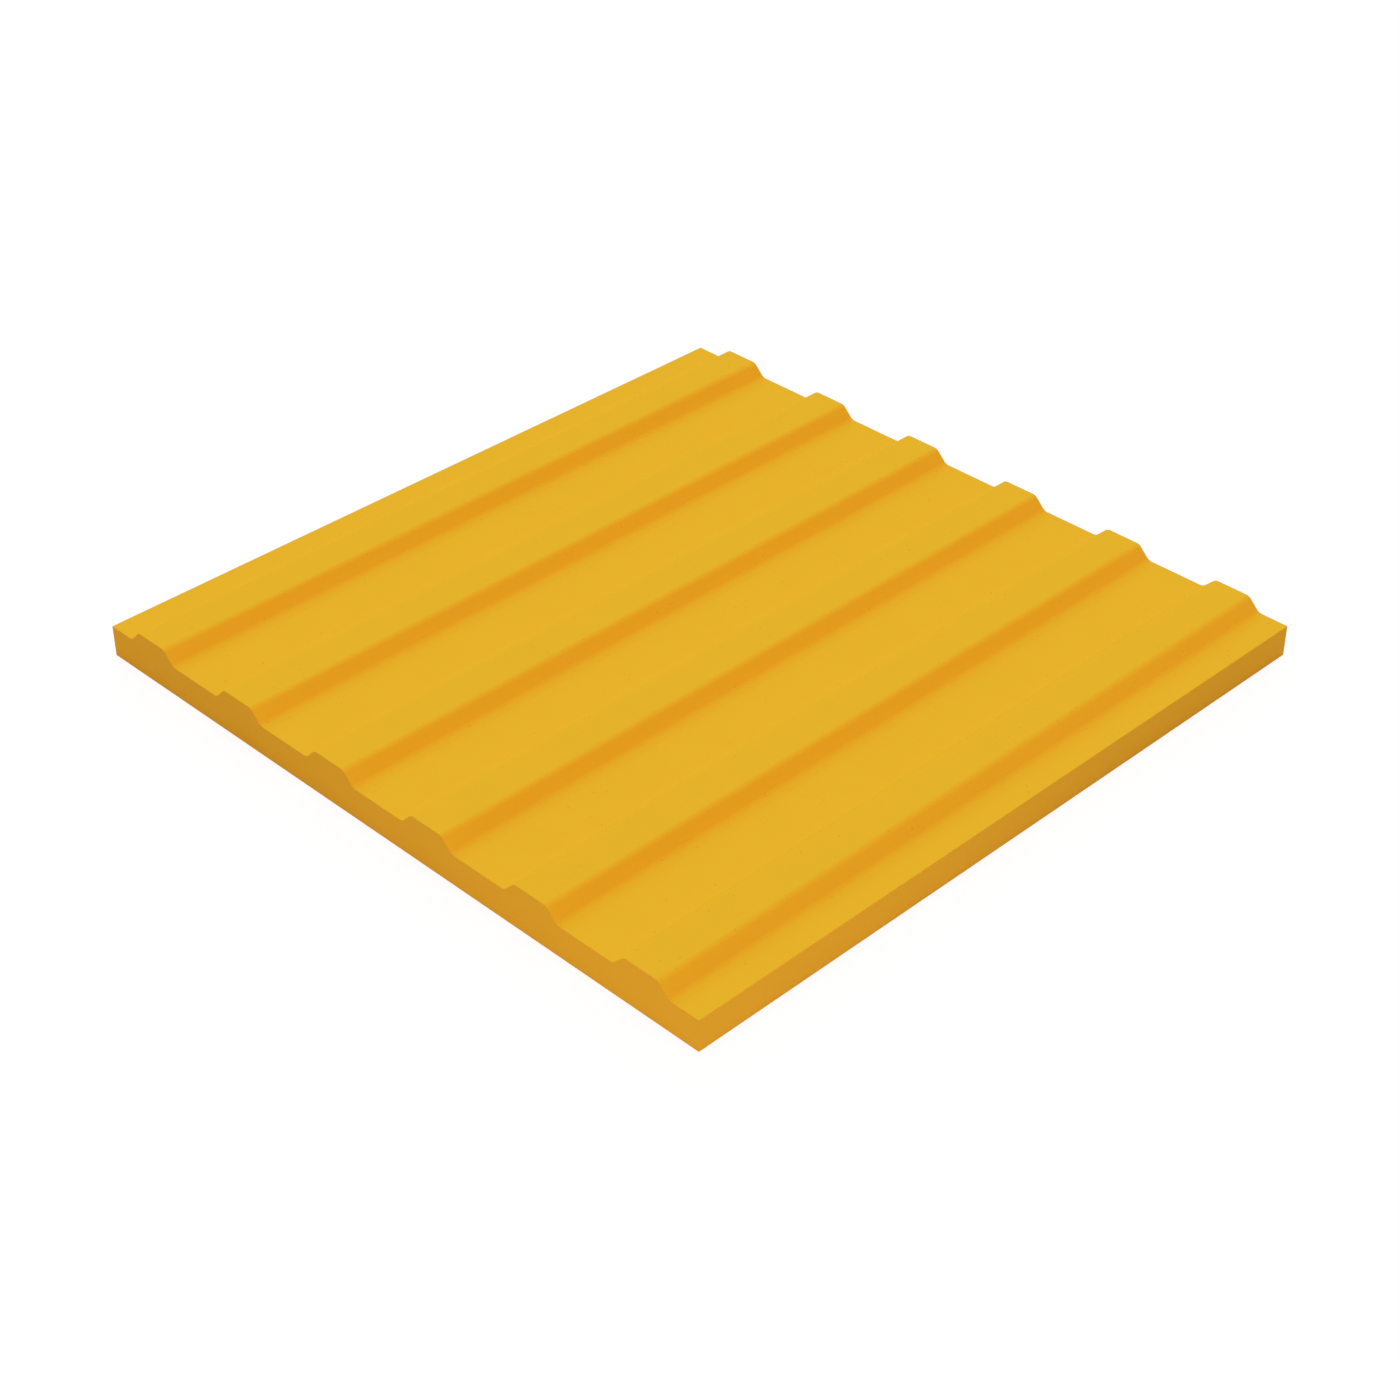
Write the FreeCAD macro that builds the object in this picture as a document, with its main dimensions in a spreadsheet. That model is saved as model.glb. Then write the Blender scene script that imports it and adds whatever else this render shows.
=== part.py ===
import FreeCAD, Part
import os
import Sketcher

# Tactile paving slab, cast in one piece: a square base slab whose top face carries six parallel
# raised ribs that run right across it, from one end face to the other.
#
# Frame: X across the ribs, Y along them, Z up. The origin is the centre of the flat underside.
# Lengths are millimetres.

# Driving dimensions: alias, value and what it measures.
SIZES = [
    ("slab_length", 300, "length of the slab, along the ribs"),
    ("base_thickness", 12.5, "thickness of the base slab, under the ribs"),
    ("rib_count", 6, "number of ribs"),
    ("rib_pitch", 50, "spacing of the ribs, axis to axis"),
    ("rib_height", 5, "height of a rib above the base slab"),
    ("rib_top_width", 15, "width of a rib's flat top, before its edges are rounded"),
    ("rib_base_width", 25, "width of a rib at its foot, before the foot is rounded in"),
    ("first_margin", 24.5, "axis of the first rib to the slab's -X edge"),
    ("last_margin", 25, "axis of the last rib to the slab's +X edge"),
    ("rib_edge_radius", 3, "rounding of a rib's two top edges"),
    ("rib_foot_radius", 3, "rounding where a rib's flank meets the base slab"),
    ("arris_radius", 0.2, "softened outer edge of the cast face and of the four corners"),
]

# Two faces or edges nearer than this are at the same place.
NEAR = 0.001

# The name that a sketch's constraints give to its own origin point.
SKETCH_ORIGIN = (-1, 1)


def add_sheet(document):
    """Put the driving dimensions in a spreadsheet, one row for each."""
    sheet = document.addObject("Spreadsheet::Sheet", "sizes")
    for row, (alias, value, meaning) in enumerate(SIZES, start=1):
        sheet.set(f"A{row}", alias)
        sheet.set(f"B{row}", str(value))
        sheet.set(f"C{row}", meaning)
        sheet.setAlias(f"B{row}", alias)
    document.recompute()
    return sheet


def origin_item(body, role):
    """Return the origin plane or axis of a body that has the given role."""
    return next(item for item in body.Origin.OriginFeatures if item.Role == role)


def add_sketch(body, name, role):
    """Start a sketch on one of the body's own origin planes."""
    sketch = body.newObject("Sketcher::SketchObject", name)
    sketch.AttachmentSupport = (origin_item(body, role), [""])
    sketch.MapMode = "FlatFace"
    return sketch


def start_of(line):
    """Name the start of a sketch's line, as a constraint takes it."""
    return line, 1


def end_of(line):
    """Name the end of a sketch's line, as a constraint takes it."""
    return line, 2


def add_lines(sketch, corners):
    """Draw a closed outline of straight lines and join each end to the next start."""
    starts = [FreeCAD.Vector(x, y, 0) for x, y in corners]
    ends = starts[1:] + starts[:1]
    for start, end in zip(starts, ends):
        sketch.addGeometry(Part.LineSegment(start, end), False)
    for line in range(len(corners)):
        following = (line + 1) % len(corners)
        joined = Sketcher.Constraint("Coincident", *end_of(line), *start_of(following))
        sketch.addConstraint(joined)


def bind(sketch, name, expression, *constraint):
    """Add a named dimension to a sketch and drive it from the spreadsheet."""
    index = sketch.addConstraint(Sketcher.Constraint(*constraint))
    sketch.renameConstraint(index, name)
    sketch.setExpression(f"Constraints.{name}", expression)


def add_base(body, sheet):
    """Model the base slab: a rectangle centred on the origin, raised to its thickness."""
    outline = add_sketch(body, "base_outline", "XY_Plane")
    ribbed_width = (sheet.rib_count - 1) * sheet.rib_pitch
    half_width = (sheet.first_margin + ribbed_width + sheet.last_margin) / 2
    half_length = sheet.slab_length / 2
    add_lines(
        outline,
        [
            (-half_width, -half_length),
            (half_width, -half_length),
            (half_width, half_length),
            (-half_width, half_length),
        ],
    )
    near_side, right_side, far_side, left_side = range(4)
    for side in (near_side, far_side):
        outline.addConstraint(Sketcher.Constraint("Horizontal", side))
    for side in (right_side, left_side):
        outline.addConstraint(Sketcher.Constraint("Vertical", side))
    opposite_corners = (*start_of(near_side), *start_of(far_side))
    outline.addConstraint(Sketcher.Constraint("Symmetric", *opposite_corners, *SKETCH_ORIGIN))
    bind(
        outline,
        "slab_width",
        "sizes.first_margin + (sizes.rib_count - 1) * sizes.rib_pitch + sizes.last_margin",
        "DistanceX", *start_of(near_side), *end_of(near_side), 2 * half_width,
    )
    bind(
        outline,
        "slab_length",
        "sizes.slab_length",
        "DistanceY", *start_of(right_side), *end_of(right_side), 2 * half_length,
    )

    base = body.newObject("PartDesign::Pad", "base_slab")
    base.Profile = outline
    base.setExpression("Length", "sizes.base_thickness")


def add_ribs(body, sheet):
    """Model the first rib as a trapezoid run the full length, and repeat it at the pitch."""
    profile = add_sketch(body, "rib_profile", "XZ_Plane")
    ribbed_width = (sheet.rib_count - 1) * sheet.rib_pitch
    axis = (sheet.first_margin - sheet.last_margin - ribbed_width) / 2
    half_base = sheet.rib_base_width / 2
    half_top = sheet.rib_top_width / 2
    foot_level = sheet.base_thickness
    top_level = foot_level + sheet.rib_height
    add_lines(
        profile,
        [
            (axis - half_base, foot_level),
            (axis + half_base, foot_level),
            (axis + half_top, top_level),
            (axis - half_top, top_level),
        ],
    )
    foot_line, _, top_line, _ = range(4)
    # The rib's upright axis is a construction line. The two flanks mirror each other about it.
    axis_ends = [FreeCAD.Vector(axis, level, 0) for level in (foot_level, top_level)]
    upright = profile.addGeometry(Part.LineSegment(*axis_ends), True)
    profile.addConstraint(Sketcher.Constraint("Vertical", upright))
    for axis_end, line in ((start_of(upright), foot_line), (end_of(upright), top_line)):
        both_ends = (*start_of(line), *end_of(line))
        profile.addConstraint(Sketcher.Constraint("PointOnObject", *axis_end, line))
        profile.addConstraint(Sketcher.Constraint("Symmetric", *both_ends, upright))
    bind(
        profile,
        "axis_to_centre",
        "((sizes.rib_count - 1) * sizes.rib_pitch + sizes.last_margin - sizes.first_margin) / 2",
        "DistanceX", *start_of(upright), *SKETCH_ORIGIN, -axis,
    )
    bind(
        profile,
        "foot_level",
        "sizes.base_thickness",
        "DistanceY", *SKETCH_ORIGIN, *start_of(upright), foot_level,
    )
    bind(
        profile,
        "rib_height",
        "sizes.rib_height",
        "DistanceY", *start_of(upright), *end_of(upright), top_level - foot_level,
    )
    bind(
        profile,
        "rib_base_width",
        "sizes.rib_base_width",
        "DistanceX", *start_of(foot_line), *end_of(foot_line), 2 * half_base,
    )
    bind(
        profile,
        "rib_top_width",
        "sizes.rib_top_width",
        "DistanceX", *end_of(top_line), *start_of(top_line), 2 * half_top,
    )

    rib = body.newObject("PartDesign::Pad", "first_rib")
    rib.Profile = profile
    rib.SideType = "Symmetric"
    rib.setExpression("Length", "sizes.slab_length")

    ribs = body.newObject("PartDesign::LinearPattern", "ribs")
    ribs.Originals = [rib]
    ribs.Direction = (origin_item(body, "X_Axis"), [""])
    ribs.Mode = "Spacing"
    ribs.setExpression("Offset", "sizes.rib_pitch")
    ribs.setExpression("Occurrences", "sizes.rib_count")
    body.Tip = ribs
    return ribs


def edges_where(shape, wanted):
    """Name the edges of a shape for which a test on the edge's box is true."""
    return [
        f"Edge{number}"
        for number, edge in enumerate(shape.Edges, start=1)
        if wanted(edge.BoundBox)
    ]


def add_rounding(body, name, previous, edges, radius):
    """Round the named edges of the feature before, to a radius from the spreadsheet."""
    rounding = body.newObject("PartDesign::Fillet", name)
    rounding.Base = (previous, edges)
    rounding.setExpression("Radius", radius)
    body.Tip = rounding
    body.Document.recompute()
    return rounding


def round_ribs(body, ribs, sheet):
    """Round the ribs' top edges, then round their flanks into the base slab."""

    def along_at(level):
        """Test for a full-length edge at a level, away from the slab's own outer edges."""
        outer = ribs.Shape.BoundBox

        def test(box):
            along = box.YLength > sheet.slab_length - NEAR and box.XLength < NEAR
            inside = box.XMin > outer.XMin + NEAR and box.XMax < outer.XMax - NEAR
            return along and inside and abs(box.ZMin - level) < NEAR and box.ZLength < NEAR

        return test

    foot_level = sheet.base_thickness
    top_level = sheet.base_thickness + sheet.rib_height
    crowns = add_rounding(
        body, "rib_edges", ribs, edges_where(ribs.Shape, along_at(top_level)),
        "sizes.rib_edge_radius",
    )
    return add_rounding(
        body, "rib_feet", crowns, edges_where(crowns.Shape, along_at(foot_level)),
        "sizes.rib_foot_radius",
    )


def soften_outer_edges(body, slab):
    """Round the outer edges that the mould forms: all but those of the underside."""
    outer = slab.Shape.BoundBox

    def on_outer_edge(box):
        on_end = box.YLength < NEAR and min(box.YMin - outer.YMin, outer.YMax - box.YMax) < NEAR
        on_side = box.XLength < NEAR and min(box.XMin - outer.XMin, outer.XMax - box.XMax) < NEAR
        return (on_end or on_side) and box.ZMax > NEAR

    return add_rounding(
        body, "arris", slab, edges_where(slab.Shape, on_outer_edge), "sizes.arris_radius"
    )


def make_slab(document, sheet):
    """Model the slab as one body."""
    body = document.addObject("PartDesign::Body", "tactile_slab")
    body.Label = "tactile_slab"
    body.Placement = FreeCAD.Placement()
    add_base(body, sheet)
    ribs = add_ribs(body, sheet)
    document.recompute()
    rounded = round_ribs(body, ribs, sheet)
    soften_outer_edges(body, rounded)
    return body


def check(document, bodies):
    """Stop if a feature failed, a sketch is loose or a piece isn't one valid solid."""
    for item in document.Objects:
        if "Invalid" in item.State or "Error" in item.State:
            raise RuntimeError(f"{item.Label} failed: {item.State}")
        if item.isDerivedFrom("Sketcher::SketchObject") and not item.FullyConstrained:
            raise RuntimeError(f"{item.Label} has a line that no dimension holds")
    for body in bodies:
        shape = body.Shape
        if shape.isNull() or not shape.isValid() or len(shape.Solids) != 1:
            raise RuntimeError(f"{body.Label} is not one valid solid")


document = FreeCAD.newDocument("tactile_paving_slab")
sheet = add_sheet(document)
bodies = [make_slab(document, sheet)]
document.recompute()
check(document, bodies)

os.makedirs("parts", exist_ok=True)
for body in bodies:
    body.Shape.exportStep(f"parts/{body.Label}.step")
    box = body.Shape.optimalBoundingBox(False, False)
    print(
        f"{body.Label}: {box.XLength:.2f} x {box.YLength:.2f} x {box.ZLength:.2f} mm, "
        f"{body.Shape.Volume / 1000:.1f} cm3, {len(body.Shape.Faces)} faces"
    )
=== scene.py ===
import math

import bmesh
import bpy
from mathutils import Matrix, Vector


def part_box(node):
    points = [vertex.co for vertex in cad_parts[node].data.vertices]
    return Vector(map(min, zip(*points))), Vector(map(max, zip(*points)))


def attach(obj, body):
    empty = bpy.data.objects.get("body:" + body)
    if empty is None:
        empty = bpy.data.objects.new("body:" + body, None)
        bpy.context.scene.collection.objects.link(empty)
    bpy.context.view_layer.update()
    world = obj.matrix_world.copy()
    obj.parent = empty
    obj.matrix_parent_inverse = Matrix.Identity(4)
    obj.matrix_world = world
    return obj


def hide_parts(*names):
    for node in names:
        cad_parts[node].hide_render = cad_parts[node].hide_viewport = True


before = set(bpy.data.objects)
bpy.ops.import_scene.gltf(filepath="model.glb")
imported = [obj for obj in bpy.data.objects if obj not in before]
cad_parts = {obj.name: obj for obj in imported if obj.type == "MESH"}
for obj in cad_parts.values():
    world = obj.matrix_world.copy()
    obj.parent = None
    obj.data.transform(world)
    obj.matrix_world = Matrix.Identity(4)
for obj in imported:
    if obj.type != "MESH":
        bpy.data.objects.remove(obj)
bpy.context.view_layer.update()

# A tactile paving slab of yellow cast concrete: a square slab whose top face carries parallel
# raised ribs, pictured on a white studio floor. Lengths are metres, in the part's own frame:
# X across the ribs, Y along them, Z up, with the origin at the centre of the flat underside.

bl_info = {
    "name": "Tactile Paving Slab",
    "version": (1, 0, 0),
    "blender": (4, 5, 0),
    "location": "View3D > Sidebar > Paving",
    "description": "Models a ribbed tactile paving slab and the studio it is pictured in",
    "category": "Object",
}

SLAB_NODE = "tactile_slab"
LOWEST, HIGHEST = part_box(SLAB_NODE)

# Points nearer than this are at the same place.
NEAR = 1e-5
# A face looks along an axis where its normal has more than this along it.
FACING = 0.99
# Faces that meet at less than this are shaded as one surface.
SMOOTH_UNDER = math.radians(40)
# At the top corners the rounded outline shrinks to points this near, as a share of its radius.
MERGE_SHARE = 0.1
# The profile at which a bevel is a round arc.
ROUND_PROFILE = 0.5
WHITE = (1, 1, 1, 1)

# The inputs of the concrete's texture, after its vector.
GRAIN_INPUTS = (
    "Mottle Scale",
    "Grain Scale",
    "Pore Scale",
    "Mottle Depth",
    "Grain Contrast",
    "Pore Share",
    "Pore Darkness",
    "Pore Depth",
    "Roughness",
    "Roughness Swing",
)
# How many finer layers a noise has, and how strong each is beside the one before.
MOTTLE_NOISE = {"Detail": 3, "Roughness": 0.6}
GRAIN_NOISE = {"Detail": 2, "Roughness": 0.7}
# The value that a noise swings about.
NOISE_MIDDLE = 0.5
# Where the floor of a pore ends and where its rim does, in cells from the pore's middle.
PORE_FLOOR = 0.05
PORE_RIM = 0.16
# Space between one node and the next on a node sheet.
NODE_STEP = 200


class SlabSizes(bpy.types.PropertyGroup):
    """The sizes of the ribs and edges. The slab's overall sizes come from the frame."""

    rib_count: bpy.props.IntProperty(
        name="Ribs", description="Number of ribs", default=6, min=2
    )
    rib_height: bpy.props.FloatProperty(
        name="Rib height",
        description="Height of a rib above the base slab",
        default=0.005,
        unit="LENGTH",
    )
    rib_top_width: bpy.props.FloatProperty(
        name="Rib top width",
        description="Width of a rib's flat top before its edges are rounded",
        default=0.015,
        unit="LENGTH",
    )
    rib_base_width: bpy.props.FloatProperty(
        name="Rib base width",
        description="Width of a rib at its foot before the foot is rounded in",
        default=0.025,
        unit="LENGTH",
    )
    first_margin: bpy.props.FloatProperty(
        name="First margin",
        description="Axis of the first rib to the slab's -X edge",
        default=0.0245,
        unit="LENGTH",
    )
    last_margin: bpy.props.FloatProperty(
        name="Last margin",
        description="Axis of the last rib to the slab's +X edge",
        default=0.025,
        unit="LENGTH",
    )
    rib_radius: bpy.props.FloatProperty(
        name="Rib rounding",
        description="Radius of a rib's top edges and of its feet",
        default=0.003,
        unit="LENGTH",
    )
    arris_radius: bpy.props.FloatProperty(
        name="Arris",
        description="Radius of the slab's outer edges, all but those of the underside",
        default=0.0002,
        unit="LENGTH",
    )
    rib_segments: bpy.props.IntProperty(
        name="Rib rounding steps", description="Faces across a rib's rounding", default=10
    )
    arris_segments: bpy.props.IntProperty(
        name="Arris steps", description="Faces across the arris", default=4
    )


class SlabFinish(bpy.types.PropertyGroup):
    """The colours and texture of the pigmented concrete, and the shade painted into the colours of its
    flanks, sides and rib feet.
    """

    face_colour: bpy.props.FloatVectorProperty(
        name="Face colour",
        description="Colour of the faces that look straight up",
        subtype="COLOR",
        size=4,
        default=(0.795, 0.463, 0.0214, 1),
    )
    # Painted shade: the slope, rounding and side colours are the face colour with the darker, oranger
    # hue that these faces take in shade painted in.
    slope_shaded_colour: bpy.props.FloatVectorProperty(
        name="Slope colour",
        description="Deeper colour of the ribs' +X flanks",
        subtype="COLOR",
        size=4,
        default=(0.911, 0.446, 0.0175, 1),
    )
    rounding_shaded_colour: bpy.props.FloatVectorProperty(
        name="Rounding colour",
        description="Colour halfway round a rib's +X edge and foot",
        subtype="COLOR",
        size=4,
        default=(0.842, 0.446, 0.0185, 1),
    )
    back_slope_shaded_colour: bpy.props.FloatVectorProperty(
        name="Back slope colour",
        description="Colour of the ribs' -X flanks, which the photograph barely shows",
        subtype="COLOR",
        size=4,
        default=(0.825, 0.464, 0.0208, 1),
    )
    back_rounding_shaded_colour: bpy.props.FloatVectorProperty(
        name="Back rounding colour",
        description="Colour halfway round a rib's -X edge and foot",
        subtype="COLOR",
        size=4,
        default=(0.784, 0.457, 0.0204, 1),
    )
    side_shaded_colour: bpy.props.FloatVectorProperty(
        name="Side colour",
        description="Colour of the slab's upright sides",
        subtype="COLOR",
        size=4,
        default=(0.898, 0.446, 0.0203, 1),
    )
    underside_colour: bpy.props.FloatVectorProperty(
        name="Underside colour",
        description="Duller colour of the underside, which is struck off level and not moulded",
        subtype="COLOR",
        size=4,
        default=(0.66, 0.40, 0.05, 1),
    )
    # Painted shade: the flat beside each rib's +X foot is darkened where the rib shades it.
    foot_painted_shade: bpy.props.FloatVectorProperty(
        name="Foot tint",
        description="What the colour is multiplied by along the foot of each rib's +X flank",
        subtype="COLOR",
        size=4,
        default=(0.994, 0.957, 0.915, 1),
    )
    foot_offset: bpy.props.FloatProperty(
        name="Foot offset",
        description="A flank's foot, before it is rounded in, to the line of the strongest tint",
        default=0.0019,
        unit="LENGTH",
    )
    foot_reach: bpy.props.FloatProperty(
        name="Foot reach",
        description="How far from that line the foot's tint has faded to nothing",
        default=0.0034,
        unit="LENGTH",
    )
    mottle_size: bpy.props.FloatProperty(
        name="Mottle size",
        description="Width of the faint paler and darker patches of pigment",
        default=0.018,
        unit="LENGTH",
    )
    mottle_depth: bpy.props.FloatProperty(
        name="Mottle depth",
        description="How much paler or darker the patches are, as a share of the colour",
        default=0.03,
        subtype="FACTOR",
    )
    grain_size: bpy.props.FloatProperty(
        name="Grain size",
        description="Width of the sand grains that show at the surface",
        default=0.0006,
        unit="LENGTH",
    )
    grain_contrast: bpy.props.FloatProperty(
        name="Grain contrast",
        description="How much paler or darker the grains are, as a share of the colour",
        default=0.05,
        subtype="FACTOR",
    )
    grain_depth: bpy.props.FloatProperty(
        name="Grain depth",
        description="Height of the sand grains above the cement skin",
        default=0.00002,
        unit="LENGTH",
    )
    pore_spacing: bpy.props.FloatProperty(
        name="Pore spacing",
        description="Width of the patch of surface that may hold one pore",
        default=0.003,
        unit="LENGTH",
    )
    pore_share: bpy.props.FloatProperty(
        name="Pore share",
        description="Share of those patches that hold a pore",
        default=0.15,
        subtype="FACTOR",
    )
    pore_darkness: bpy.props.FloatProperty(
        name="Pore darkness",
        description="How much darker a pore is than the skin round it",
        default=0.12,
        subtype="FACTOR",
    )
    pore_depth: bpy.props.FloatProperty(
        name="Pore depth", description="Depth of a pore, in heights of a grain", default=4
    )
    roughness: bpy.props.FloatProperty(
        name="Roughness", description="Roughness of the concrete", default=0.85, subtype="FACTOR"
    )
    roughness_swing: bpy.props.FloatProperty(
        name="Roughness swing",
        description="How far the roughness swings from grain to grain",
        default=0.2,
        subtype="FACTOR",
    )
    gloss: bpy.props.FloatProperty(
        name="Gloss", description="Strength of the dull highlight", default=0.1, subtype="FACTOR"
    )
    underside_coarseness: bpy.props.FloatProperty(
        name="Underside coarseness",
        description="How many times coarser the underside is than the moulded faces",
        default=2.5,
    )


class StudioSettings(bpy.types.PropertyGroup):
    """The camera, lamps and floor."""

    azimuth: bpy.props.FloatProperty(
        name="Camera azimuth",
        description="Angle of the camera round the slab, from straight in front",
        default=math.radians(45.033),
        subtype="ANGLE",
    )
    elevation: bpy.props.FloatProperty(
        name="Camera elevation",
        description="Angle of the camera above the floor",
        default=math.radians(35.280),
        subtype="ANGLE",
    )
    distance: bpy.props.FloatProperty(
        name="Camera distance",
        description="Camera to the point that it looks at",
        default=1.02235,
        unit="LENGTH",
    )
    aim: bpy.props.FloatVectorProperty(
        name="Aim",
        description="The point that the camera looks at, which is a little below the floor",
        default=(-0.0001, 0.00016, -0.0203),
        subtype="TRANSLATION",
        unit="LENGTH",
    )
    lens: bpy.props.FloatProperty(
        name="Lens", description="Focal length in millimetres", default=71.543, unit="CAMERA"
    )
    floor_width: bpy.props.FloatProperty(
        name="Floor width", description="Side of the square floor", default=30, unit="LENGTH"
    )
    floor_shade: bpy.props.FloatProperty(
        name="Floor shade",
        description="How much light the floor throws back at the slab",
        default=0.8,
        subtype="FACTOR",
    )
    floor_shadow: bpy.props.FloatProperty(
        name="Floor shadow",
        description="Share of the floor's brightness that a shadow takes away",
        default=0.15,
        subtype="FACTOR",
    )
    floor_glow: bpy.props.FloatProperty(
        name="Floor glow",
        description="Share of the floor's brightness that a shadow leaves",
        default=0.87,
        subtype="FACTOR",
    )
    floor_light: bpy.props.FloatProperty(
        name="Floor light",
        description="Strength of the light that the floor itself gives at the slab's near corner",
        default=0.31,
    )
    floor_light_reach: bpy.props.FloatProperty(
        name="Floor light reach",
        description="How far from the near corner the light from the floor has faded to nothing",
        default=0.23,
        unit="LENGTH",
    )
    sky: bpy.props.FloatProperty(
        name="Sky light", description="Strength of the even light from all round", default=0.41
    )
    overhead: bpy.props.FloatProperty(
        name="Overhead light", description="Strength of the soft light from above", default=1.62
    )
    overhead_softness: bpy.props.FloatProperty(
        name="Overhead softness",
        description="Width of the overhead light as the slab sees it",
        default=math.radians(40),
        subtype="ANGLE",
    )
    back: bpy.props.FloatProperty(
        name="Back light", description="Strength of the low light behind the slab", default=0.72
    )
    back_softness: bpy.props.FloatProperty(
        name="Back softness",
        description="Width of the back light as the slab sees it",
        default=math.radians(30),
        subtype="ANGLE",
    )
    back_elevation: bpy.props.FloatProperty(
        name="Back elevation",
        description="Height of the back light above the floor, as an angle",
        default=math.radians(25),
        subtype="ANGLE",
    )
    warm: bpy.props.FloatVectorProperty(
        name="Warm light",
        description="Tint of the light from the sky, from above and from the floor",
        subtype="COLOR",
        default=(1.0, 0.93, 0.93),
    )
    cool: bpy.props.FloatVectorProperty(
        name="Cool light",
        description="Tint of the light from behind",
        subtype="COLOR",
        default=(0.57, 1.0, 1.0),
    )


def deselect_all():
    """Leave nothing selected, so that an operator acts on its own object alone."""
    if bpy.context.object and bpy.context.object.mode != "OBJECT":
        bpy.ops.object.mode_set(mode="OBJECT")
    bpy.ops.object.select_all(action="DESELECT")


def select_faces(piece, wanted):
    """In edit mode, select only the faces for which a test on the face is true."""
    mesh = bmesh.from_edit_mesh(piece.data)
    bpy.ops.mesh.select_all(action="DESELECT")
    for face in mesh.faces:
        face.select_set(wanted(face))
    bmesh.update_edit_mesh(piece.data)


def select_points(piece, wanted):
    """In edit mode, select only the points for which a test on the point's place is true."""
    mesh = bmesh.from_edit_mesh(piece.data)
    bpy.ops.mesh.select_all(action="DESELECT")
    for point in mesh.verts:
        point.select_set(wanted(point.co))
    mesh.select_flush_mode()
    bmesh.update_edit_mesh(piece.data)


def select_edges(piece, wanted):
    """In edit mode, select only the edges for which a test on the edge's ends is true."""
    mesh = bmesh.from_edit_mesh(piece.data)
    bpy.ops.mesh.select_all(action="DESELECT")
    for edge in mesh.edges:
        edge.select_set(wanted(*(end.co for end in edge.verts)))
    bmesh.update_edit_mesh(piece.data)


def rib_axes(sizes):
    """Return where each rib's axis crosses the slab's width."""
    first = LOWEST.x + sizes.first_margin
    last = HIGHEST.x - sizes.last_margin
    pitch = (last - first) / (sizes.rib_count - 1)
    return [first + rib * pitch for rib in range(sizes.rib_count)]


def flank_angle(sizes):
    """Return how steeply a rib's flank slopes."""
    return math.atan2(sizes.rib_height, (sizes.rib_base_width - sizes.rib_top_width) / 2)


def runs_along_ribs(start, end):
    """Tell whether an edge between two points runs level and along the ribs."""
    return abs(start.x - end.x) < NEAR and abs(start.z - end.z) < NEAR


def round_lines(piece, wanted, width, steps):
    """In edit mode, round the edges for which a test on the edge's ends is true."""
    bpy.ops.mesh.select_mode(type="EDGE")
    select_edges(piece, wanted)
    bpy.ops.mesh.bevel(
        offset=width, offset_type="OFFSET", segments=steps, profile=ROUND_PROFILE, affect="EDGES"
    )


def raise_ribs(slab, sizes, base_top):
    """Cut the ribs' lines in the block's top, lift the crowns and round all the lines."""
    axes = rib_axes(sizes)
    half_base = sizes.rib_base_width / 2
    half_top = sizes.rib_top_width / 2
    bpy.ops.mesh.select_mode(type="FACE")
    for axis in axes:
        for line in (axis - half_base, axis - half_top, axis + half_top, axis + half_base):
            select_faces(slab, lambda face: face.normal.z > FACING)
            bpy.ops.mesh.bisect(plane_co=(line, 0, 0), plane_no=(1, 0, 0))

    def is_crown(face):
        across = face.calc_center_median().x
        return face.normal.z > FACING and min(abs(across - axis) for axis in axes) < half_top

    select_faces(slab, is_crown)
    bpy.ops.transform.translate(value=(0, 0, sizes.rib_height))

    def is_rib_line(start, end):
        inside = LOWEST.x + NEAR < start.x < HIGHEST.x - NEAR
        return runs_along_ribs(start, end) and inside and start.z > base_top - NEAR

    width = sizes.rib_radius * math.tan(flank_angle(sizes) / 2)
    round_lines(slab, is_rib_line, width, sizes.rib_segments)


def round_ends(slab, sizes):
    """Round the outline of both end faces by drawing it in and pushing the face out, in steps."""
    radius = sizes.arris_radius
    bpy.ops.mesh.select_mode(type="FACE")
    select_faces(slab, lambda face: abs(face.normal.y) > FACING)
    turns = [math.radians(90) * step / sizes.arris_segments for step in range(sizes.arris_segments + 1)]
    for before, after in zip(turns, turns[1:]):
        bpy.ops.mesh.inset(
            thickness=radius * (math.cos(before) - math.cos(after)),
            depth=radius * (math.sin(after) - math.sin(before)),
            use_even_offset=True,
        )
    # The underside's own edges stay sharp, so what was drawn in there goes back down.
    bpy.ops.mesh.select_mode(type="VERT")
    select_points(slab, lambda place: place.z < LOWEST.z + radius + NEAR)
    bpy.ops.transform.resize(value=(1, 1, 0), center_override=(0, 0, LOWEST.z))
    bpy.ops.mesh.select_all(action="SELECT")
    bpy.ops.mesh.remove_doubles(threshold=radius * MERGE_SHARE)


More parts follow.
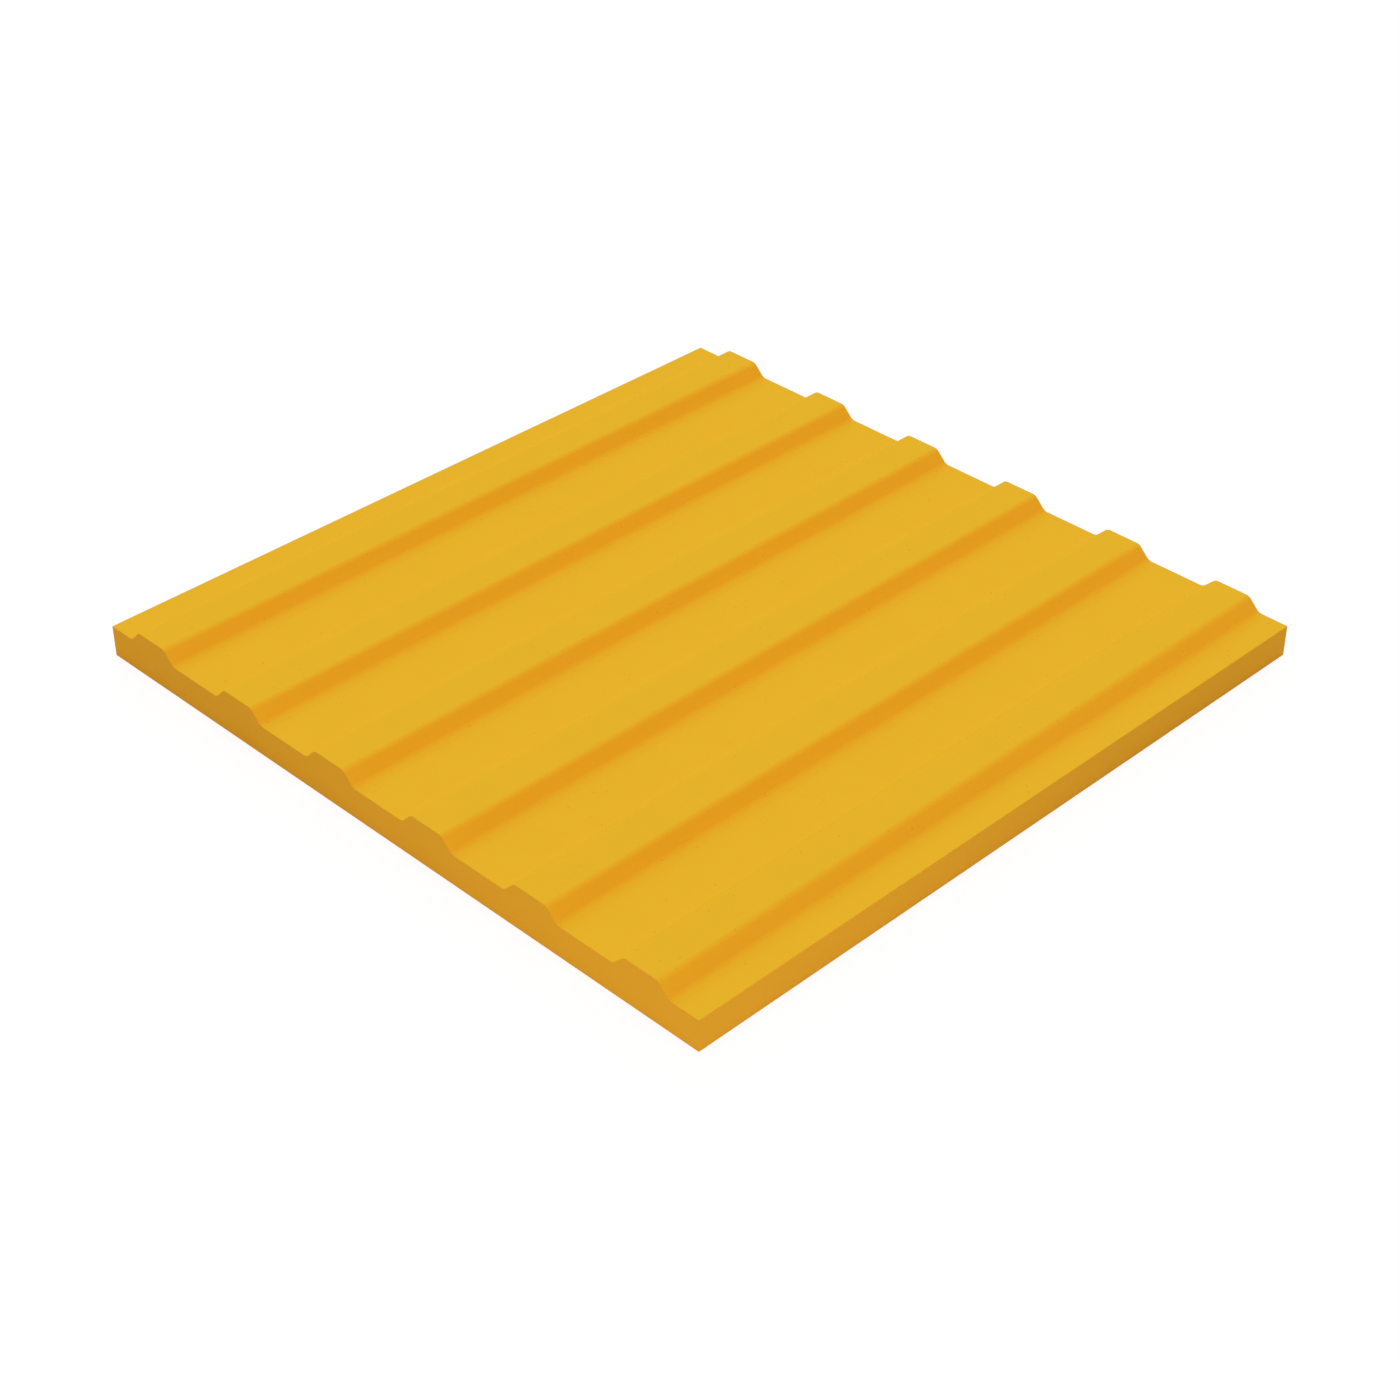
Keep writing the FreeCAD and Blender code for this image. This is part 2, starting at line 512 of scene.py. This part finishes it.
def cast_slab(sizes):
    """Model the slab from a block, a little short of the ends that the rounding adds."""
    deselect_all()
    base_top = HIGHEST.z - sizes.rib_height
    middle = (LOWEST + HIGHEST) / 2
    whole = HIGHEST - LOWEST
    bpy.ops.mesh.primitive_cube_add(
        size=1,
        location=(middle.x, middle.y, (LOWEST.z + base_top) / 2),
        scale=(whole.x, whole.y - 2 * sizes.arris_radius, base_top - LOWEST.z),
    )
    bpy.ops.object.transform_apply(location=True, rotation=True, scale=True)
    slab = bpy.context.object
    slab.name = slab.data.name = "ribbed_slab"

    def is_top_side_edge(start, end):
        outermost = abs(start.x - middle.x) > whole.x / 2 - NEAR
        return runs_along_ribs(start, end) and outermost and start.z > base_top - NEAR

    bpy.ops.object.mode_set(mode="EDIT")
    raise_ribs(slab, sizes, base_top)
    round_lines(slab, is_top_side_edge, sizes.arris_radius, sizes.arris_segments)
    round_ends(slab, sizes)
    bpy.ops.object.mode_set(mode="OBJECT")
    bpy.ops.object.shade_smooth_by_angle(angle=SMOOTH_UNDER)
    bpy.ops.object.modifier_add(type="WEIGHTED_NORMAL")
    slab.modifiers[-1].keep_sharp = True
    bpy.ops.object.modifier_apply(modifier=slab.modifiers[-1].name)
    return slab


def node_in(tree, kind, place, **values):
    """Add a node to a tree at a place on its sheet, and set its plain inputs by name."""
    node = tree.nodes.new(kind)
    node.location = place
    for name, value in values.items():
        node.inputs[name.replace("_", " ")].default_value = value
    return node


def calculate(tree, operation, place, *terms):
    """Add a node that works one number out of others, each a node's output or a plain number."""
    node = node_in(tree, "ShaderNodeMath", place)
    node.operation = operation
    for socket, term in zip(node.inputs, terms):
        if isinstance(term, bpy.types.NodeSocket):
            tree.links.new(term, socket)
        else:
            socket.default_value = term
    return node.outputs["Value"]


def swing(tree, place, noise, depth, middle):
    """Add nodes that swing a number about its middle with a noise, by up to half the depth."""
    centred = calculate(tree, "SUBTRACT", place, noise, NOISE_MIDDLE)
    beside = (place[0] + NODE_STEP, place[1])
    return calculate(tree, "MULTIPLY_ADD", beside, centred, depth, middle)


def cast_grain_group():
    """Build the texture of cast concrete: faint patches of pigment, sand grains and pores."""
    group = bpy.data.node_groups.new("cast_grain", "ShaderNodeTree")
    group.interface.new_socket("Vector", in_out="INPUT", socket_type="NodeSocketVector")
    for name in GRAIN_INPUTS:
        group.interface.new_socket(name, in_out="INPUT", socket_type="NodeSocketFloat")
    for name in ("Tone", "Roughness", "Height"):
        group.interface.new_socket(name, in_out="OUTPUT", socket_type="NodeSocketFloat")
    given = node_in(group, "NodeGroupInput", (-1200, 0)).outputs
    leave = node_in(group, "NodeGroupOutput", (600, 0))

    mottle = node_in(group, "ShaderNodeTexNoise", (-900, 300), **MOTTLE_NOISE)
    grain = node_in(group, "ShaderNodeTexNoise", (-900, 0), **GRAIN_NOISE)
    cells = node_in(group, "ShaderNodeTexVoronoi", (-900, -300))
    for texture, scale in ((mottle, "Mottle Scale"), (grain, "Grain Scale"), (cells, "Pore Scale")):
        group.links.new(given["Vector"], texture.inputs["Vector"])
        group.links.new(given[scale], texture.inputs["Scale"])

    # A pore is the middle of a cell, in the few cells whose own random value is low enough.
    mouth = node_in(group, "ShaderNodeMapRange", (-600, -300), From_Min=PORE_RIM, From_Max=PORE_FLOOR)
    group.links.new(cells.outputs["Distance"], mouth.inputs["Value"])
    split = node_in(group, "ShaderNodeSeparateColor", (-600, -600))
    group.links.new(cells.outputs["Color"], split.inputs["Color"])
    few = calculate(group, "LESS_THAN", (-400, -600), split.outputs["Red"], given["Pore Share"])
    pores = calculate(group, "MULTIPLY", (-200, -400), mouth.outputs["Result"], few)

    patches = swing(group, (-600, 300), mottle.outputs["Fac"], given["Mottle Depth"], 1)
    speckled = swing(group, (-200, 300), grain.outputs["Fac"], given["Grain Contrast"], patches)
    shadows = calculate(group, "MULTIPLY", (0, -200), pores, given["Pore Darkness"])
    tone = calculate(group, "SUBTRACT", (300, 300), speckled, shadows)
    roughness = swing(group, (0, 0), grain.outputs["Fac"], given["Roughness Swing"], given["Roughness"])
    depth = calculate(group, "MULTIPLY", (0, -400), pores, given["Pore Depth"])
    height = calculate(group, "SUBTRACT", (300, -300), grain.outputs["Fac"], depth)
    for name, value in (("Tone", tone), ("Roughness", roughness), ("Height", height)):
        group.links.new(value, leave.inputs[name])
    return group


def cast_concrete(name, finish, coarseness, grain_group):
    """Build a matt concrete. Return it, which way its surface faces and the node its colour enters."""
    material = bpy.data.materials.new(name)
    material.use_nodes = True
    tree = material.node_tree
    tree.nodes.clear()
    output = node_in(tree, "ShaderNodeOutputMaterial", (900, 0))
    concrete = node_in(tree, "ShaderNodeBsdfPrincipled", (600, 0), Specular_IOR_Level=finish.gloss)
    place = node_in(tree, "ShaderNodeTexCoord", (-1200, 0))
    grain = node_in(tree, "ShaderNodeGroup", (-300, -200))
    grain.node_tree = grain_group
    values = (
        1 / finish.mottle_size,
        1 / (finish.grain_size * coarseness),
        1 / (finish.pore_spacing * coarseness),
        finish.mottle_depth * coarseness,
        finish.grain_contrast * coarseness,
        finish.pore_share,
        finish.pore_darkness * coarseness,
        finish.pore_depth,
        finish.roughness,
        finish.roughness_swing,
    )
    for title, value in zip(GRAIN_INPUTS, values, strict=True):
        grain.inputs[title].default_value = value
    tinted = node_in(tree, "ShaderNodeVectorMath", (0, 100))
    tinted.operation = "SCALE"
    relief = node_in(tree, "ShaderNodeBump", (300, -300), Distance=finish.grain_depth * coarseness)
    tree.links.new(place.outputs["Object"], grain.inputs["Vector"])
    tree.links.new(grain.outputs["Tone"], tinted.inputs["Scale"])
    tree.links.new(tinted.outputs["Vector"], concrete.inputs["Base Color"])
    tree.links.new(grain.outputs["Roughness"], concrete.inputs["Roughness"])
    tree.links.new(grain.outputs["Height"], relief.inputs["Height"])
    tree.links.new(relief.outputs["Normal"], concrete.inputs["Normal"])
    tree.links.new(concrete.outputs["BSDF"], output.inputs["Surface"])
    return material, place.outputs["Normal"], tinted


def paint_foot_shade(tree, sizes, finish, colour, upward):
    """Add nodes that paint shade into a colour along the foot of each rib's +X flank, where it faces
    up.
    """
    first, second = rib_axes(sizes)[:2]
    line = first + sizes.rib_base_width / 2 + finish.foot_offset
    place = node_in(tree, "ShaderNodeTexCoord", (-1200, 700))
    across = node_in(tree, "ShaderNodeSeparateXYZ", (-1000, 700))
    tree.links.new(place.outputs["Object"], across.inputs["Vector"])
    # The line repeats at the ribs' pitch, and a ping-pong gives the distance to the nearest one.
    shifted = calculate(tree, "SUBTRACT", (-800, 700), across.outputs["X"], line)
    apart = calculate(tree, "PINGPONG", (-600, 700), shifted, (second - first) / 2)
    fade = node_in(tree, "ShaderNodeMapRange", (-400, 700), From_Min=finish.foot_reach, From_Max=0)
    tree.links.new(apart, fade.inputs["Value"])
    share = calculate(tree, "MULTIPLY", (-200, 700), fade.outputs["Result"], upward)
    mix = node_in(tree, "ShaderNodeMix", (0, 500))
    mix.data_type = "RGBA"
    mix.blend_type = "MULTIPLY"
    # A mix node keeps the sockets of every kind of value, with only those of the chosen kind on.
    amount, before, tint = (socket for socket in mix.inputs if socket.enabled)
    tint.default_value = finish.foot_painted_shade
    tree.links.new(share, amount)
    tree.links.new(colour, before)
    return next(socket for socket in mix.outputs if socket.enabled)


def moulded_concrete(finish, sizes, grain_group):
    """Build the material of the faces that the mould forms, with shade painted into its colour."""
    material, normal, tinted = cast_concrete("moulded_yellow_concrete", finish, 1, grain_group)
    flank = flank_angle(sizes)
    tree = material.node_tree
    # The colour follows how far the surface leans across the ribs, from -1 at the -X side to 1
    # at the +X side, which paints shade into it: the flanks, their roundings and the upright sides
    # get the darker, oranger hue that they take in shade, the -X side a fainter one than the +X
    # side. The end faces count as the +X side does.
    facing = node_in(tree, "ShaderNodeSeparateXYZ", (-1200, 300))
    tree.links.new(normal, facing.inputs["Vector"])
    endwise = calculate(tree, "ABSOLUTE", (-1000, 200), facing.outputs["Y"])
    lean = calculate(tree, "ADD", (-800, 300), facing.outputs["X"], endwise)
    share = node_in(tree, "ShaderNodeMapRange", (-600, 300), From_Min=-1, From_Max=1)
    tone = node_in(tree, "ShaderNodeValToRGB", (-400, 300))
    tree.links.new(lean, share.inputs["Value"])
    tree.links.new(share.outputs["Result"], tone.inputs["Fac"])
    # Painted shade along the foot of each rib's +X flank.
    foot_shaded_colour = paint_foot_shade(tree, sizes, finish, tone.outputs["Color"], facing.outputs["Z"])
    tree.links.new(foot_shaded_colour, tinted.inputs[0])
    stops = tone.color_ramp.elements
    for stop in stops:
        stop.color = finish.side_shaded_colour
    leans = (
        (-flank, finish.back_slope_shaded_colour),
        (-flank / 2, finish.back_rounding_shaded_colour),
        (0, finish.face_colour),
        (flank / 2, finish.rounding_shaded_colour),
        (flank, finish.slope_shaded_colour),
    )
    for angle, colour in leans:
        stops.new((math.sin(angle) + 1) / 2).color = colour
    return material


def struck_concrete(finish, grain_group):
    """Build the material of the underside, struck off level while the concrete was wet."""
    coarseness = finish.underside_coarseness
    material, _, tinted = cast_concrete("struck_yellow_concrete", finish, coarseness, grain_group)
    tinted.inputs[0].default_value = finish.underside_colour[:3]
    return material


class OBJECT_OT_tactile_slab(bpy.types.Operator):
    """Model the ribbed slab and give it its finish"""

    bl_idname = "object.tactile_slab"
    bl_label = "Tactile slab"

    def execute(self, context):
        sizes = context.scene.slab_sizes
        finish = context.scene.slab_finish
        slab = cast_slab(sizes)
        grain_group = cast_grain_group()
        slab.data.materials.append(moulded_concrete(finish, sizes, grain_group))
        slab.data.materials.append(struck_concrete(finish, grain_group))
        for face in slab.data.polygons:
            face.material_index = int(face.normal.z < -FACING)
        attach(slab, "root")
        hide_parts(SLAB_NODE)
        return {"FINISHED"}


def seen_ray(tree, place):
    """Add nodes that give 1 to the rays that show a backdrop, straight or in or through a piece."""
    path = node_in(tree, "ShaderNodeLightPath", place)
    total = path.outputs["Is Camera Ray"]
    for step, name in enumerate(("Is Glossy Ray", "Is Transmission Ray"), start=1):
        beside = (place[0] + NODE_STEP * step, place[1])
        total = calculate(tree, "MAXIMUM", beside, total, path.outputs[name])
    return total


def glowing_grey(tree, place, shade, glow):
    """Add nodes for an even grey surface that also glows, and return what they put out."""
    left, top = place
    matte = node_in(tree, "ShaderNodeBsdfDiffuse", place, Color=(shade, shade, shade, 1))
    both = node_in(tree, "ShaderNodeAddShader", (left + NODE_STEP, top))
    tree.links.new(matte.outputs[0], both.inputs[0])
    tree.links.new(glow.outputs[0], both.inputs[1])
    return both.outputs[0]


def light_from_below(tree, studio):
    """Add nodes for the light that the floor gives, which fades away from the near corner."""
    place = node_in(tree, "ShaderNodeTexCoord", (-1000, -200))
    corner = (HIGHEST.x, LOWEST.y, LOWEST.z)
    reach = [studio.floor_light_reach] * 3
    centred = node_in(tree, "ShaderNodeMapping", (-800, -200), Location=corner, Scale=reach)
    centred.vector_type = "TEXTURE"
    fade = node_in(tree, "ShaderNodeTexGradient", (-600, -200))
    fade.gradient_type = "SPHERICAL"
    tree.links.new(place.outputs["Object"], centred.inputs["Vector"])
    tree.links.new(centred.outputs["Vector"], fade.inputs["Vector"])
    light = node_in(tree, "ShaderNodeEmission", (-200, -200), Color=(*studio.warm, 1))
    strength = calculate(tree, "MULTIPLY", (-400, -200), fade.outputs["Fac"], studio.floor_light)
    tree.links.new(strength, light.inputs["Strength"])
    return light


def studio_floor(studio):
    """Lay a wide white floor that keeps the slab's soft shadow."""
    deselect_all()
    bpy.ops.mesh.primitive_plane_add(size=studio.floor_width, location=(0, 0, LOWEST.z))
    floor = bpy.context.object
    bpy.ops.object.transform_apply(location=True, rotation=True, scale=True)
    floor.name = floor.data.name = "studio_floor"
    material = bpy.data.materials.new("white_floor")
    material.use_nodes = True
    # The slab's own rays find the wide floor easily, and a lamp made of it would only add noise.
    material.cycles.emission_sampling = "NONE"
    tree = material.node_tree
    tree.nodes.clear()
    output = node_in(tree, "ShaderNodeOutputMaterial", (600, 0))
    lit = glowing_grey(tree, (0, 0), studio.floor_shade, light_from_below(tree, studio))
    white = node_in(tree, "ShaderNodeEmission", (-200, -500), Strength=studio.floor_glow)
    seen = glowing_grey(tree, (0, -300), studio.floor_shadow, white)
    pick = node_in(tree, "ShaderNodeMixShader", (400, 0))
    tree.links.new(seen_ray(tree, (-400, 300)), pick.inputs[0])
    tree.links.new(lit, pick.inputs[1])
    tree.links.new(seen, pick.inputs[2])
    tree.links.new(pick.outputs[0], output.inputs["Surface"])
    floor.data.materials.append(material)


def studio_sky(studio):
    """Light the scene evenly from all round, in front of a white backdrop."""
    world = bpy.data.worlds.new("studio")
    bpy.context.scene.world = world
    world.use_nodes = True
    tree = world.node_tree
    tree.nodes.clear()
    output = node_in(tree, "ShaderNodeOutputWorld", (600, 0))
    light = node_in(
        tree, "ShaderNodeBackground", (0, 100), Color=(*studio.warm, 1), Strength=studio.sky
    )
    white = node_in(tree, "ShaderNodeBackground", (0, -100), Color=WHITE, Strength=1)
    pick = node_in(tree, "ShaderNodeMixShader", (300, 0))
    tree.links.new(seen_ray(tree, (-500, 300)), pick.inputs[0])
    tree.links.new(light.outputs[0], pick.inputs[1])
    tree.links.new(white.outputs[0], pick.inputs[2])
    tree.links.new(pick.outputs[0], output.inputs["Surface"])


def towards(azimuth, elevation):
    """Return the direction from the slab to a lamp or camera that is at the two angles."""
    flat = math.cos(elevation)
    return Vector((flat * math.sin(azimuth), -flat * math.cos(azimuth), math.sin(elevation)))


def looking_along(direction):
    """Return the turn of a lamp or camera that looks along a direction."""
    return direction.to_track_quat("-Z", "Y").to_euler()


def distant_light(name, direction, strength, softness, tint):
    """Add a soft light that is far off, lights the whole slab evenly and gives no highlight."""
    deselect_all()
    bpy.ops.object.light_add(type="SUN", location=direction, rotation=looking_along(-direction))
    lamp = bpy.context.object
    lamp.name = lamp.data.name = name
    lamp.data.energy = strength
    lamp.data.angle = softness
    lamp.data.color = tint
    lamp.visible_glossy = False


def studio_camera(studio):
    """Stand the camera where the photograph was taken from."""
    deselect_all()
    back = towards(studio.azimuth, studio.elevation)
    place = studio.aim + back * studio.distance
    bpy.ops.object.camera_add(location=place, rotation=looking_along(-back))
    camera = bpy.context.object
    camera.name = camera.data.name = "studio_camera"
    camera.data.lens = studio.lens
    bpy.context.scene.camera = camera


class OBJECT_OT_paving_studio(bpy.types.Operator):
    """Set up the floor, light and camera that picture the slab"""

    bl_idname = "object.paving_studio"
    bl_label = "Paving studio"

    def execute(self, context):
        studio = context.scene.studio
        studio_floor(studio)
        studio_sky(studio)
        above = Vector((0, 0, 1))
        behind = towards(studio.azimuth + math.pi, studio.back_elevation)
        distant_light("overhead_light", above, studio.overhead, studio.overhead_softness, studio.warm)
        distant_light("back_light", behind, studio.back, studio.back_softness, studio.cool)
        studio_camera(studio)
        context.scene.view_settings.view_transform = "Standard"
        return {"FINISHED"}


class VIEW3D_PT_paving(bpy.types.Panel):
    """List what this file makes"""

    bl_label = "Tactile paving"
    bl_space_type = "VIEW_3D"
    bl_region_type = "UI"
    bl_category = "Paving"

    def draw(self, context):
        for operator in (OBJECT_OT_tactile_slab, OBJECT_OT_paving_studio):
            self.layout.operator(operator.bl_idname)


CLASSES = (
    SlabSizes,
    SlabFinish,
    StudioSettings,
    OBJECT_OT_tactile_slab,
    OBJECT_OT_paving_studio,
    VIEW3D_PT_paving,
)
SETTINGS = {"slab_sizes": SlabSizes, "slab_finish": SlabFinish, "studio": StudioSettings}


def register():
    """Make the settings, operators and panel known, with the settings on each scene."""
    for item in CLASSES:
        bpy.utils.register_class(item)
    for name, group in SETTINGS.items():
        setattr(bpy.types.Scene, name, bpy.props.PointerProperty(type=group))


def unregister():
    """Take back what register made known."""
    for name in SETTINGS:
        delattr(bpy.types.Scene, name)
    for item in reversed(CLASSES):
        bpy.utils.unregister_class(item)


def main():
    """Make the slab and its studio."""
    register()
    bpy.ops.object.tactile_slab()
    bpy.ops.object.paving_studio()


if __name__ == "__main__":
    main()
